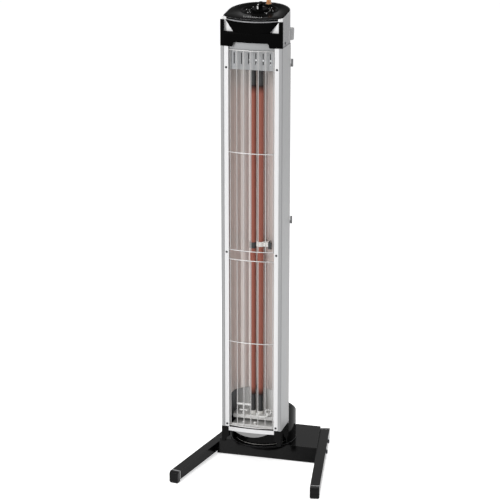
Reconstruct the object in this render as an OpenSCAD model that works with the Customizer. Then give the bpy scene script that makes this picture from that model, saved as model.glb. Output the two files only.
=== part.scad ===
// Floor-standing far infrared heater: a slim tower with two upright heating
// rods, turning on a drum above a wide steel foot.
// Millimetres. Z is up, the front faces -Y, and Z = 0 is the floor.

/* [Foot] */
// Distance between the outer front corners of the two legs
foot_w = 447; // [400:1:520]
// Length of the foot from front to rear
foot_d = 463; // [400:1:560]
// Angle by which each leg turns outward to the front
leg_splay = 9.9; // [6:0.1:12]
// Width of a leg tube
leg_w = 27.6; // [24:0.1:32]
// Height of a leg tube
leg_h = 26.5; // [22:0.5:32]
// Wall of a leg tube
leg_wall = 1.6; // [1:0.1:2.5]
// Height of the leg tubes above the floor
leg_lift = 8; // [5:0.5:14]
// Height of the cross beam's top above the floor
beam_top = 43; // [40:0.5:50]
// Sheet thickness of the cross beam
beam_wall = 2.5; // [1.5:0.1:4]
// Depth of the cross beam's flat top, from front to rear
beam_d = 172; // [150:1:190]
// Distance by which the beam's front leans back from bottom to top
beam_lean = 19; // [8:1:26]

/* [Swivel] */
// Sideways offset of the tower from the middle of the foot
tower_x = -27; // [-40:1:40]
// Offset of the tower's middle from the middle of the foot, front to rear
tower_y = -5; // [-20:1:10]
// Distance of the swivel axis behind the tower's middle
axis_back = 93.5; // [85:0.5:105]
// Radius of the fixed swivel plate
plate_r = 98; // [96:0.5:104]
// Thickness of the fixed swivel plate
plate_t = 5; // [3:0.5:6]
// Radius of the turning drum
drum_r = 84; // [76:0.5:88]
// Height of the drum's top above the floor
drum_top = 77; // [72:0.5:80]
// Half angle of the turning range
swivel_half = 35; // [20:1:40]
// Radius of the hollow spindle
spindle_r = 14; // [11:0.5:18]
// Radius of the rear cowl
cowl_r = 97; // [92:0.5:100]
// Height of the cowl's top where it meets the tower
cowl_top = 180; // [160:1:190]
// Slope of the cowl's top, in degrees
cowl_slope = 36; // [30:1:36]

/* [Tower] */
// Width of the tower
tower_w = 180; // [170:1:200]
// Depth of the side panels
tower_d = 90; // [84:1:100]
// Height of the side panels' lower end above the floor
tower_z0 = 120; // [116:1:130]
// Height of the side panels' upper end above the floor
tower_z1 = 1256; // [1100:1:1300]
// Width of the side panels' front lip
lip_w = 10; // [8:0.5:12]
// Width of the guard rails beside the wires
rail_w = 13; // [11:0.5:15]
// Sheet thickness of the panels
sheet = 1.5; // [1:0.1:2]
// Depth of the pressed field in the back panel
back_bulge = 28; // [15:1:40]

/* [Heating] */
// Diameter of a heating rod
rod_d = 17; // [14:0.5:18]
// Distance between the two heating rods
rod_pitch = 22; // [20:0.5:26]
// Height of the heating zone's lower end
hot_z0 = 207; // [200:1:240]
// Height of the heating zone's upper end
hot_z1 = 1137; // [1000:1:1150]
// Number of upright guard wires
wires = 7; // [5:1:9]
// Distance between upright guard wires
wire_pitch = 21; // [14:0.5:21]
// Diameter of a guard wire
wire_d = 2.4; // [2:0.1:3]
// Forward bow of the guard and the head's front
bow = 10; // [6:0.5:12]

/* [Head] */
// Height of the head's front skirt
skirt_h = 37; // [30:1:44]
// Height of the arch in the skirt
arch_h = 13; // [8:0.5:16]
// Depth of the straight sides behind the tower's middle
head_straight = 35; // [25:1:45]
// Tilt of the control panel towards the front, in degrees
panel_tilt = 6.3; // [3:0.1:8]
// Thickness of the control panel
panel_t = 9; // [7:0.5:12]
// Diameter of the recessed dial
dial_d = 92; // [80:1:100]
// Length of the knob's grip
knob_l = 40; // [34:1:46]
// Radius of the knob's shaft
shaft_r = 3; // [2.5:0.1:4]

/* [Hidden] */
$fn = 64;

// Clearances
touch = 0.05;
run = 0.3;
eps = 0.01;

// Tower
half_w = tower_w / 2;
half_d = tower_d / 2;
rail_out = half_w - lip_w;
rail_in = rail_out - rail_w;
rail_y = -half_d + 1;

// Foot
leg_top = leg_lift + leg_h;
cap_l = 15;
axis = [tower_x, tower_y + axis_back];
plate_z = beam_top + plate_t;
washer_t = 1.5;
drum_z = plate_z + washer_t + 0.1;
drum_wall = 4;
stop_r = 60;
stop_pin_r = 3;

// Head
head_z = tower_z1;
head_half = half_w - 2;
front_r = (half_w * half_w + bow * bow) / (2 * bow);
panel_z = head_z + 72;
knob_y = 42;

module in_tower() translate([tower_x, tower_y, 0]) children();
module at_axis() translate([axis[0], axis[1], 0]) children();
module both_sides() { children(); mirror([1, 0, 0]) children(); }

// A folded sheet of thickness t lies to the left of its path.
function unit(v) = v / norm(v);
function left_of(v) = [-v[1], v[0]];
function side(p, i) = left_of(unit(p[i + 1] - p[i]));
function mitre(p, i) =
  let (a = i > 0 ? side(p, i - 1) : side(p, 0),
       b = i < len(p) - 1 ? side(p, i) : a,
       m = unit(a + b)) m / (m * a);
function arc(c, r, a0, a1, n = 4) =
  [for (i = [0:n]) c + r * [cos(a0 + (a1 - a0) * i / n), sin(a0 + (a1 - a0) * i / n)]];
module fold(path, t) {
  polygon(concat(path, [for (i = [len(path) - 1:-1:0]) path[i] + t * mitre(path, i)]));
}
module tube(r_out, r_in, h) difference() {
  cylinder(r = r_out, h = h);
  translate([0, 0, -1]) cylinder(r = r_in, h = h + 2);
}

// Foot: a folded beam between two splayed legs
leg_half = (foot_d - leg_w * sin(leg_splay)) / 2 / cos(leg_splay);
leg_x = foot_w / 2 - leg_w * cos(leg_splay) - leg_half * sin(leg_splay);
leg_y = -leg_w * sin(leg_splay) / 2;
module on_leg(s) mirror([s < 0 ? 1 : 0, 0, 0]) translate([leg_x, leg_y, 0]) rotate(leg_splay) children();

// Beam outline in plan: the ends run along the legs.
beam_y0 = tower_y + 24;
beam_y1 = beam_y0 + beam_lean + beam_d;
function leg_inner(y) = leg_x - (y - leg_y) * tan(leg_splay);
module beam_plan(inset) polygon([
  for (s = [[1, beam_y0 + inset], [1, beam_y1 - inset], [-1, beam_y1 - inset], [-1, beam_y0 + inset]])
    [s[0] * (leg_inner(s[1]) - 0.1 - inset), s[1]]]);
module beam_solid(inset) intersection() {
  linear_extrude(beam_top - inset) beam_plan(inset);
  rotate([90, 0, 90]) translate([0, 0, -foot_w / 2]) linear_extrude(foot_w) polygon([
    [beam_y0 + inset, -1], [beam_y0 + inset, beam_z0], [beam_y0 + beam_lean + inset, beam_top - inset],
    [beam_y1 - inset, beam_top - inset], [beam_y1 - inset, -1]]);
}
beam_z0 = 3;
bolt_y = [beam_y0 + 50, beam_y0 + 130];
bolt_r = 4;
module leg_bolt_places() for (y = bolt_y) translate([0, y / cos(leg_splay), leg_lift + leg_h / 2])
  rotate([0, 90, 0]) children();
module base_beam() color("#1b1b1d") difference() {
  beam_solid(0);
  translate([0, 0, -eps]) beam_solid(beam_wall);
  translate([-foot_w, -foot_d, -1]) cube([2 * foot_w, 2 * foot_d, beam_z0 + 1]);
  for (s = [-1, 1]) on_leg(s) leg_bolt_places() translate([0, 0, -12]) cylinder(r = bolt_r + 0.2, h = 24);
  at_axis() cylinder(r = spindle_r - 3, h = beam_top + 1);
}
module leg(s) color("#1b1b1d") on_leg(s) difference() {
  translate([0, -leg_half + cap_l, leg_lift]) cube([leg_w, 2 * leg_half - 2 * cap_l, leg_h]);
  translate([leg_wall, -leg_half, leg_lift + leg_wall])
    cube([leg_w - 2 * leg_wall, 2 * leg_half, leg_h - 2 * leg_wall]);
  leg_bolt_places() translate([0, 0, -1]) cylinder(r = bolt_r + 0.2, h = leg_w + 2);
}
module left_leg() leg(-1);
module right_leg() leg(1);

// Plastic caps: a rounded nose over the tube's end and a plug inside it
nose_r = 9;
plug_l = 22;
module foot_cap() {
  difference() {
    rotate([90, 0, 90]) linear_extrude(leg_w) polygon(concat(
      [[cap_l - touch, pad_h], [0.0, pad_h]],
      arc([nose_r, leg_top - nose_r], nose_r, 180, 90, 6),
      [[cap_l - touch, leg_top]]));
    translate([-1, -1, leg_lift + 5]) cube([leg_w + 2, 1.8, 1.6]);
  }
  translate([leg_wall + 0.2, cap_l - touch - eps, leg_lift + leg_wall + 0.2])
    cube([leg_w - 2 * leg_wall - 0.4, plug_l, leg_h - 2 * leg_wall - 0.4]);
}
pad_h = 3;
module cap_places(end) for (s = [-1, 1]) on_leg(s)
  translate([end > 0 ? leg_w : 0, -end * leg_half, 0]) rotate(end > 0 ? 0 : 180)
    translate([end > 0 ? -leg_w : -leg_w, 0, 0]) children();
module front_foot_caps() color("#202022") cap_places(1) foot_cap();
module rear_foot_caps() color("#202022") cap_places(-1) foot_cap();
module foot_pads() color("#3a3a3c") for (end = [-1, 1]) cap_places(end)
  translate([2, 0.6, 0]) cube([leg_w - 4, cap_l - 2, pad_h]);

bolt_head = 3.5;
nut_t = 6;
bolt_l = leg_w + beam_wall + nut_t + 3;
module leg_bolts() color("#26262a") for (s = [-1, 1]) on_leg(s) leg_bolt_places()
  translate([0, 0, leg_w]) {
    translate([0, 0, touch]) cylinder(r1 = 7, r2 = 5.5, h = bolt_head);
    translate([0, 0, -bolt_l]) cylinder(r = bolt_r, h = bolt_l + touch + eps);
  }
module leg_nuts() color("#8d8d90") for (s = [-1, 1]) on_leg(s) leg_bolt_places()
  translate([0, 0, -0.3 - beam_wall - nut_t]) difference() {
    cylinder(r = 7.5, h = nut_t, $fn = 6);
    translate([0, 0, -1]) cylinder(r = bolt_r + touch, h = nut_t + 2);
  }

// Swivel: plate, spindle, washer and stop pin stay with the foot
module swivel_plate() color("#242426") at_axis() {
  translate([0, 0, beam_top]) difference() {
    cylinder(r = plate_r, h = plate_t);
    translate([0, 0, plate_t - 1.2]) tube(plate_r + 1, plate_r - 1.2, 2);
    translate([0, 0, -1]) cylinder(r = spindle_r - 3, h = plate_t + 2);
  }
  rotate(-90) translate([stop_r, 0, plate_z - eps]) cylinder(r = stop_pin_r, h = 12);
}
spindle_h = drum_top - plate_z + 9;
module swivel_spindle() color("#8d8d90") at_axis() translate([0, 0, plate_z]) {
  tube(spindle_r, spindle_r - 3, spindle_h);
  tube(spindle_r + 8, spindle_r - 3, 3);
}
module spindle_ring() color("#9a9a9c") at_axis() translate([0, 0, drum_top + run])
  tube(spindle_r + 7, spindle_r + touch, 4);
module bearing_washer() color("#d9d6cc") at_axis() translate([0, 0, plate_z])
  tube(drum_r - 1, drum_r - 14, washer_t);
stop_rib_w = 4;
stop_rib_angle = swivel_half + asin((stop_pin_r + stop_rib_w / 2) / stop_r) + 0.6;
module swivel_drum() color("#161617") at_axis() {
  translate([0, 0, drum_z]) tube(drum_r, drum_r - drum_wall, drum_top - drum_z - 1);
  translate([0, 0, drum_top - drum_wall]) difference() {
    union() {
      cylinder(r = drum_r, h = drum_wall - 1.5);
      translate([0, 0, drum_wall - 1.5 - eps]) cylinder(r = drum_r - 1.5, h = 1.5 + eps);
    }
    translate([0, 0, -1]) cylinder(r = spindle_r + touch, h = drum_wall + 2);
  }
  translate([0, 0, plate_z + 4]) tube(spindle_r + 5, spindle_r + touch, drum_top - drum_wall - plate_z - 4 + eps);
  for (s = [-1, 1]) rotate(-90 + s * stop_rib_angle)
    translate([spindle_r + 4, -stop_rib_w / 2, plate_z + 4])
      cube([drum_r - drum_wall - spindle_r - 3.5, stop_rib_w, drum_top - drum_wall - plate_z - 4 + eps]);
}

// Rear cowl: an upright cylinder behind the tower with a sloping top
cowl_y = half_d + sheet + 0.1;
cowl_wall = 3;
module cowl_body(inset) intersection() {
  at_axis() translate([0, 0, plate_z + 0.5]) cylinder(r = cowl_r - inset, h = cowl_top);
  in_tower() translate([-2 * cowl_r, cowl_y - (inset > 0 ? 1 : 0), 0]) cube([4 * cowl_r, 3 * cowl_r, 2 * cowl_top]);
  in_tower() translate([-2 * cowl_r, cowl_y, cowl_top]) rotate([-cowl_slope, 0, 0])
    translate([0, -cowl_top, -2 * cowl_top - inset]) cube([4 * cowl_r, 4 * cowl_top, 2 * cowl_top]);
}
module rear_cowl() color("#131314") difference() {
  cowl_body(0);
  translate([0, 0, -eps]) cowl_body(cowl_wall);
}
// Steel angle that ties the tower's back to the drum
bracket_w = 100;
bracket_t = 3;
module tower_bracket() color("#8f9092") in_tower() difference() {
  union() {
    translate([-bracket_w / 2, cowl_y + touch, drum_top + touch]) cube([bracket_w, bracket_t, 82]);
    translate([-bracket_w / 2, cowl_y + touch, drum_top + touch])
      cube([bracket_w, axis_back + spindle_r + 25 - cowl_y, bracket_t]);
    for (s = [-1, 1]) translate([s * (bracket_w / 2 - bracket_t / 2), cowl_y + 1, drum_top + 1]) rotate([90, 0, 90])
      linear_extrude(bracket_t, center = true) polygon([[0, 0], [62, 0], [62, 6], [6, 74], [0, 74]]);
  }
  translate([0, axis_back, 0]) cylinder(r = spindle_r + 9, h = 200);
}

// Bottom cover: tray, four corner posts and the neck that stands on the drum
post_z = drum_top - 5;
post_w = 22;
tray_z = 105;
module bottom_cover() color("#1d1d1f") in_tower() {
  difference() {
    translate([-half_w, -half_d, tray_z]) cube([tower_w, tower_d, tower_z0 - tray_z - touch]);
    translate([-rail_in - 2, -half_d - 1, tray_z + 2.5]) cube([2 * rail_in + 4, tower_d - 2, tower_z0]);
  }
  both_sides() for (front = [-1, 1]) difference() {
    translate([half_w - post_w, front < 0 ? -half_d : half_d - post_w, post_z])
      cube([post_w, post_w, tray_z - post_z + eps]);
    translate([half_w - post_w - 4, 0, post_z + 2]) rotate([90, 0, 0])
      cylinder(r = 15, h = 3 * tower_d, center = true);
    translate([half_w - post_w - 1, front < 0 ? -half_d + 12 : -half_d, post_z - 1])
      cube([post_w - 3, tower_d - 12, tray_z - post_z - 3]);
    translate([0, axis_back, 0]) cylinder(r = drum_r + 1, h = drum_top + run);
  }
  translate([-50, axis_back - drum_r + 6, drum_top + touch])
    cube([100, half_d - axis_back + drum_r - 6, tray_z - drum_top]);
}
module bowed_front(half, depth, sag) {
  r = (half * half + sag * sag) / (2 * sag);
  intersection() {
    translate([0, r - sag]) difference() { circle(r = r, $fn = 128); circle(r = r - depth, $fn = 128); }
    translate([-half, -sag - 1]) square([2 * half, sag + depth + 1]);
  }
}
module bottom_rail() color("#dcdcda") in_tower() translate([0, -half_d, tray_z + 2.6])
  linear_extrude(12) bowed_front(rail_in + 1.9, 2, 5);

// Side panels and guard rails: folded sheet, extruded upward
lip_back = -half_d + 11;
corner_r = 3;
side_path = concat(
  [[rail_out + 0.3, lip_back], [rail_out + 0.3, -half_d]],
  arc([half_w - corner_r, -half_d + corner_r], corner_r, -90, 0),
  [[half_w, half_d], [half_w - 14, half_d]]);
module side_panel() color("#c9cacb") translate([0, 0, tower_z0]) linear_extrude(tower_z1 - tower_z0)
  fold(side_path, sheet);
module right_side_panel() in_tower() side_panel();
module left_side_panel() in_tower() mirror([1, 0, 0]) side_panel();
rail_path = [[rail_in, rail_y + 14], [rail_in, rail_y], [rail_out - 0.2, rail_y], [rail_out - 0.2, rail_y + 9]];
module guard_rail() color("#dededc") translate([0, 0, tower_z0]) linear_extrude(tower_z1 - tower_z0)
  fold(rail_path, 1.2);
module right_guard_rail() in_tower() guard_rail();
module left_guard_rail() in_tower() mirror([1, 0, 0]) guard_rail();

// Back panel: flat sheet with a pressed field and vent slots
field_z0 = 200;
field_half = 62;
vent_count = 9;
module back_panel() color("#b9babb") in_tower() difference() {
  union() {
    translate([-half_w + sheet, half_d + touch, tower_z0]) cube([tower_w - 2 * sheet, sheet - touch, tower_z1 - tower_z0]);
    translate([0, 0, field_z0]) linear_extrude(tower_z1 - field_z0) back_field(0);
  }
  translate([0, 0, field_z0 + sheet]) linear_extrude(tower_z1) back_field(sheet);
  translate([0, half_d, field_z0 + 20]) rotate([-90, 0, 0]) cylinder(r = 5, h = 2 * back_bulge);
  for (g = [0, 1], i = [0:vent_count - 1])
    translate([-40, half_d, (g == 0 ? field_z0 + 40 : tower_z1 - 160) + i * 12])
      cube([80, back_bulge + 10, 5]);
}
module back_field(inset) polygon([
  [-field_half - 16 + inset, half_d - (inset > 0 ? 1 : 0)], [field_half + 16 - inset, half_d - (inset > 0 ? 1 : 0)],
  [field_half - inset / 2, half_d + back_bulge - inset], [-field_half + inset / 2, half_d + back_bulge - inset]]);

// Reflector: a many-sided trough of thin polished sheet
louvre_z0 = tower_z1 - 67;
refl_z0 = hot_z0 + 12;
refl_z1 = louvre_z0 - run;
refl_half = [[rail_in - 1.1, rail_y + 13], [rail_in - 3, 2], [50, 22], [30, 35], [10, 37], [0, 31]];
refl_path = concat([for (i = [0:len(refl_half) - 1]) [-refl_half[i][0], refl_half[i][1]]],
  [for (i = [len(refl_half) - 2:-1:0]) refl_half[i]]);
refl_t = 0.8;
refl_out = refl_t + touch;
module reflector() color("#d8cfca") in_tower() translate([0, 0, refl_z0]) linear_extrude(refl_z1 - refl_z0)
  fold(refl_path, refl_t);

// Lower tray: bracket under the rods with a slanted deflector
rod_y = 14;
tray_plate_z = hot_z0 - 62;
module lower_tray() color("#cfd0d0") in_tower() {
  difference() {
    translate([-rail_in + 1.5, -18, tray_plate_z]) cube([2 * rail_in - 3, 60, 2]);
    for (s = [-1, 1]) translate([s * rod_pitch / 2, rod_y, tray_plate_z - 1]) cylinder(r = 7, h = 4);
  }
  translate([0, 41, tower_z0 + touch]) translate([-rail_in + 1.5, 0, 0])
    cube([2 * rail_in - 3, 1.5, refl_z0 - tower_z0 - 1]);
  translate([-rail_in + 1.5, 0, 0]) rotate([90, 0, 90]) linear_extrude(2 * rail_in - 3)
    fold([[-18, tray_plate_z + 1], [-30, tray_plate_z - 20], [-30, tower_z0 + touch]], 1.5);
}

// Louvre plate and cross rail under the head
louvre_y = rail_y + 9;
slot_count = 6;
module louvre_plate() color("#c4c6c7") in_tower() difference() {
  union() {
    translate([-rail_in + 0.3, louvre_y, louvre_z0]) cube([2 * rail_in - 0.6, 1.2, tower_z1 - louvre_z0 - 8]);
    translate([-rail_in + 0.3, louvre_y, louvre_z0]) cube([2 * rail_in - 0.6, rod_y + rod_d / 2 + 6 - louvre_y, 1.2]);
  }
  for (i = [0:slot_count - 1]) translate([(i - (slot_count - 1) / 2) * wire_pitch - 1.5, louvre_y - 1, louvre_z0 + 16])
    cube([3, 4, 32]);
  for (s = [-1, 1]) translate([s * rod_pitch / 2, rod_y, louvre_z0 - 1])
    cylinder(r = rod_d / 2 + 0.3, h = 4);
}
module upper_rail() color("#cdced0") in_tower() translate([0, -half_d + 5.3, tower_z1 - 8 + touch])
  linear_extrude(36) bowed_front(rail_in - 0.3, 2, bow - 3);

// Heating rods with black cold ends
cold_l = 50;
module rod(s) color("#93503f") in_tower() translate([s * rod_pitch / 2, rod_y, hot_z0])
  cylinder(r = rod_d / 2, h = hot_z1 - hot_z0);
module left_rod() rod(-1);
module right_rod() rod(1);
module rod_cold_ends() color("#222224") in_tower() for (s = [-1, 1])
  translate([s * rod_pitch / 2, rod_y, 0]) {
    translate([0, 0, hot_z1 + touch]) cylinder(r = rod_d / 2, h = louvre_z0 + 14 - hot_z1);
    translate([0, 0, hot_z0 - cold_l]) cylinder(r = rod_d / 2, h = cold_l - touch);
  }
module lower_ceramics() color("#eeece4") in_tower() for (s = [-1, 1])
  translate([s * rod_pitch / 2, rod_y, 0]) {
    translate([0, 0, tray_plate_z + 2 + touch]) cylinder(r = 9.5, h = hot_z0 - cold_l - tray_plate_z - 2 - 2 * touch);
    translate([0, 0, tray_plate_z - 16]) cylinder(r = 6.5, h = 18 + 2 * touch);
  }
support_z = 660;
module middle_support() color("#efeee8") in_tower() difference() {
  union() {
    translate([-rod_pitch / 2 - 14, rod_y - rod_d / 2 - 3, support_z]) cube([rod_pitch + 28, rod_d + 5, 12]);
    translate([-4, rod_y, support_z]) cube([8, refl_half[5][1] - rod_y - touch, 12]);
  }
  for (s = [-1, 1]) translate([s * rod_pitch / 2, rod_y, support_z - 1]) cylinder(r = rod_d / 2 + touch, h = 14);
}
module support_clips() color("#2a2a2c") in_tower() for (z = [support_z - 3, support_z + 12 + touch], s = [-1, 1])
  translate([s * rod_pitch / 2, rod_y, z]) tube(rod_d / 2 + 2.3, rod_d / 2 + touch, 3 - touch);

// Guards: bowed cross wires carry the upright wires
wire_half = rail_in - 0.6;
wire_r0 = (wire_half * wire_half + bow * bow) / (2 * bow);
wire_front = rail_y + 3;
function wire_y(x) = wire_front - bow + wire_r0 - sqrt(wire_r0 * wire_r0 - x * x);
wire_angle = asin(wire_half / wire_r0);
module cross_wire(z, d) translate([0, wire_front - bow + wire_r0, z]) rotate(-90 - wire_angle)
  rotate_extrude(angle = 2 * wire_angle, $fn = 240) translate([wire_r0, 0]) circle(d = d, $fn = 16);
module upright_wires(z0, z1) for (i = [0:wires - 1]) {
  x = (i - (wires - 1) / 2) * wire_pitch;
  translate([x, wire_y(x) + wire_d * 0.9, z0]) cylinder(d = wire_d, h = z1 - z0, $fn = 16);
}
guard_mid = 650;
upper_cross = 952;
lower_cross = 386;
module upper_guard() color("#d4d6d8") in_tower() {
  upright_wires(guard_mid + 14, tower_z1 - 9);
  for (z = [guard_mid + 14, upper_cross, tower_z1 - 10]) cross_wire(z, 2.8);
}
module lower_guard() color("#d4d6d8") in_tower() {
  upright_wires(tower_z0 + 4, guard_mid - 14);
  for (z = [tower_z0 + 5, lower_cross, guard_mid - 14]) cross_wire(z, 2.8);
}
screw_x = (rail_in + rail_out) / 2;
module guard_screws() color("#1c1c1e") in_tower() both_sides()
  for (z = [tower_z0 + 8, guard_mid + 6, tower_z1 - 61]) translate([screw_x, rail_y - touch, z])
    rotate([90, 0, 0]) cylinder(r1 = 3.4, r2 = 2.4, h = 2);

// Head: silver housing with a round back, black front and tilted control panel
module head_plan(half, back_r, front) union() {
  translate([0, head_straight]) intersection() {
    circle(r = back_r, $fn = 128);
    translate([-back_r, 0]) square([2 * back_r, back_r + 1]);
  }
  translate([-half, front]) square([2 * half, head_straight - front]);
}
silver_front = -half_d + 8;
head_wall = 2.5;
module under_panel(drop) translate([-200, -half_d, panel_z - drop]) rotate([panel_tilt, 0, 0])
  translate([0, -200, -400]) cube([400, 600, 400]);
module head_rear_cover() color("#b4b5b7") in_tower() difference() {
  intersection() {
    translate([0, 0, head_z + touch]) linear_extrude(200) head_plan(head_half, head_half, silver_front);
    under_panel(0.1);
  }
  intersection() {
    translate([0, 0, head_z - 1]) linear_extrude(200)
      head_plan(head_half - head_wall, head_half - head_wall, silver_front + head_wall);
    under_panel(3);
  }
  translate([0, knob_y, panel_z - 20]) rotate([panel_tilt, 0, 0]) cylinder(r = 12, h = 60);
}
// Front cover: skirt with an arch, two corner posts and the tapering pod
module front_slab(z0, h, half) translate([0, -half_d, z0]) linear_extrude(h) intersection() {
  bowed_front(half_w, 5, bow);
  translate([-half, -50]) square([2 * half, 100]);
}
arch_half = 52;
post_in = 79;
pod_r = 134;
pod_front = -half_d - bow - 2;
pod_low = 48;
pod_high = 71;
shelf_t = 2;
module pod(z0, z1) intersection() {
  rotate([90, 0, 0]) linear_extrude(100)
    polygon([[-pod_low, z0], [pod_low, z0], [pod_high, z1], [-pod_high, z1]]);
  translate([0, pod_front + pod_r, z0 - 1]) cylinder(r = pod_r, h = z1 - z0 + 2, $fn = 128);
  translate([-pod_r, -100, z0 - 1]) cube([2 * pod_r, 100 + silver_front - touch, z1 - z0 + 2]);
}
module head_front_cover() color("#0f0f10") in_tower() intersection() {
  under_panel(touch);
  union() {
    front_slab(head_z + arch_h, skirt_h - arch_h, half_w);
    difference() {
      front_slab(head_z + touch, panel_z - head_z + 4, half_w);
      translate([-arch_half, -100, head_z - 1]) cube([2 * arch_half, 200, 200]);
      translate([-post_in, -100, head_z + skirt_h - eps]) cube([2 * post_in, 200, 200]);
    }
    translate([-post_in, -half_d - 3, head_z + skirt_h - shelf_t])
      cube([2 * post_in, silver_front + half_d + 3 - touch, shelf_t]);
    pod(head_z + skirt_h - 1, panel_z + 2);
  }
}
// Control panel: rounded rim, recessed dial
rim_r = 6;
module rim_profile(half) intersection() {
  square([half, panel_t]);
  union() {
    square([half, panel_t - rim_r]);
    square([half - rim_r, panel_t]);
    translate([half - rim_r, panel_t - rim_r]) circle(r = rim_r, $fn = 48);
  }
}
panel_half = head_half + 1;
module on_panel() translate([0, -half_d, panel_z]) rotate([panel_tilt, 0, 0]) children();
dial_y = (knob_y + half_d) / cos(panel_tilt);
module head_top_panel() color("#111112") in_tower() on_panel() difference() {
  union() {
    translate([0, head_straight + half_d, 0]) rotate_extrude(angle = 180, $fn = 128) rim_profile(panel_half);
    both_sides() translate([0, head_straight + half_d + eps, 0]) rotate([90, 0, 0])
      linear_extrude(head_straight + half_d) rim_profile(panel_half);
    linear_extrude(panel_t - 2) bowed_front(panel_half, 30, bow + 2);
  }
  translate([0, dial_y, panel_t - 2]) cylinder(d = dial_d, h = 10);
  translate([0, dial_y, -1]) cylinder(r = shaft_r + 1.2, h = 30);
}
// Knob: skirt disc, upright grip and a shaft down into the switch
knob_r = 24;
grip_w = 10;
grip_h = 15;
module control_knob() color("#0c0c0d") in_tower() on_panel() translate([0, dial_y, panel_t - 2 + run]) difference() {
  union() {
    cylinder(r1 = knob_r, r2 = knob_r - 2, h = 5);
    for (s = [-1, 1]) translate([0, s * (knob_l - grip_w) / 2, 0]) cylinder(d = grip_w, h = 5 + grip_h);
    translate([-grip_w / 2, -(knob_l - grip_w) / 2, 0]) cube([grip_w, knob_l - grip_w, 5 + grip_h]);
    translate([0, 0, -30]) cylinder(r = shaft_r, h = 31);
  }
}
module rotary_switch() color("#3c3c40") in_tower() on_panel() translate([0, dial_y, -27.2]) difference() {
  translate([-18, -18, 0]) cube([36, 36, 24]);
  translate([0, 0, 4]) cylinder(r = shaft_r + touch, h = 40);
}
lamp_y = 97;
module pilot_lamp() color("#d99a5b") in_tower() on_panel() translate([12, lamp_y + half_d, panel_t + touch])
  cylinder(d1 = 15, d2 = 11, h = 22);

// Rear handle: a broad loop behind the head
handle_half = 78;
handle_out = 162;
handle_z = head_z + 6;
handle_h = 32;
handle_t = 11;
module handle_plan(half, out, r) union() {
  translate([-half, 30]) square([2 * half, out - r - 30]);
  translate([-half + r, 30]) square([2 * half - 2 * r, out - 30]);
  for (s = [-1, 1]) translate([s * (half - r), out - r]) circle(r = r);
}
handle_droop = 9;
module rear_handle() color("#a9aaac") in_tower() difference() {
  translate([0, half_d, handle_z]) rotate([-handle_droop, 0, 0]) translate([0, -half_d, 0]) difference() {
    linear_extrude(handle_h) handle_plan(handle_half, handle_out, 24);
    translate([0, 0, -1]) linear_extrude(handle_h + 2)
      handle_plan(handle_half - handle_t, handle_out - handle_t, 15);
  }
  translate([0, 0, handle_z - handle_h]) linear_extrude(3 * handle_h)
    head_plan(head_half + touch, head_half + touch, 0);
}

// Cord hooks, gland and the inner electrics
hook_z = [730, 1190];
module cord_hooks() color("#232325") in_tower() for (z = hook_z)
  translate([field_half + 11.6, half_d + 12, z]) {
    rotate([0, 90, 0]) cylinder(r = 4, h = 16, $fn = 32);
    translate([15, -3, -4]) cube([5, 6, 22]);
  }
module cord_gland() color("#1a1a1b") in_tower() translate([0, half_d + back_bulge + touch, field_z0 + 20])
  rotate([-90, 0, 0]) difference() {
    union() {
      cylinder(r = 10, h = 3);
      cylinder(r1 = 8, r2 = 6.5, h = 16);
    }
    translate([0, 0, -1]) cylinder(r = 4.5, h = 20);
  }
field_in_y = half_d + back_bulge - sheet - touch;
module terminal_block() color("#e4e1d6") in_tower() translate([-30, field_in_y - 18, field_z0 + 30]) cube([60, 18, 30]);
facet = refl_half[4] - refl_half[3];
facet_mid = (refl_half[4] + refl_half[3]) / 2;
facet_out = [facet[1], -facet[0]] / norm(facet);
module thermostat() color("#c9c4b4") in_tower()
  translate([facet_mid[0] + facet_out[0] * refl_out, facet_mid[1] + facet_out[1] * refl_out, 1010])
  rotate(atan2(facet_out[1], facet_out[0]) - 90) rotate([-90, 0, 0]) {
  cylinder(r = 12, h = 8);
  translate([0, 0, 7]) cylinder(r = 8, h = 5);
}
module tip_over_switch() color("#3b4a55") in_tower() translate([30, field_in_y - 18, field_z0 + 100]) cube([24, 18, 36]);

module cover_screws() color("#161617") in_tower() both_sides()
  translate([head_half + touch, -9, head_z + 9]) rotate([0, 90, 0]) cylinder(r = 3.5, h = 1.8);

base_beam();
left_leg();
right_leg();
front_foot_caps();
rear_foot_caps();
foot_pads();
leg_bolts();
leg_nuts();
swivel_plate();
swivel_spindle();
spindle_ring();
bearing_washer();
swivel_drum();
rear_cowl();
tower_bracket();
bottom_cover();
bottom_rail();
left_side_panel();
right_side_panel();
left_guard_rail();
right_guard_rail();
back_panel();
reflector();
lower_tray();
upper_rail();
louvre_plate();
left_rod();
right_rod();
rod_cold_ends();
lower_ceramics();
middle_support();
support_clips();
upper_guard();
lower_guard();
guard_screws();
head_front_cover();
head_top_panel();
head_rear_cover();
cover_screws();
control_knob();
rotary_switch();
pilot_lamp();
rear_handle();
cord_hooks();
cord_gland();
terminal_block();
thermostat();
tip_over_switch();
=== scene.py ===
import math

import bmesh
import bpy
from mathutils import Matrix, Vector


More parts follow.
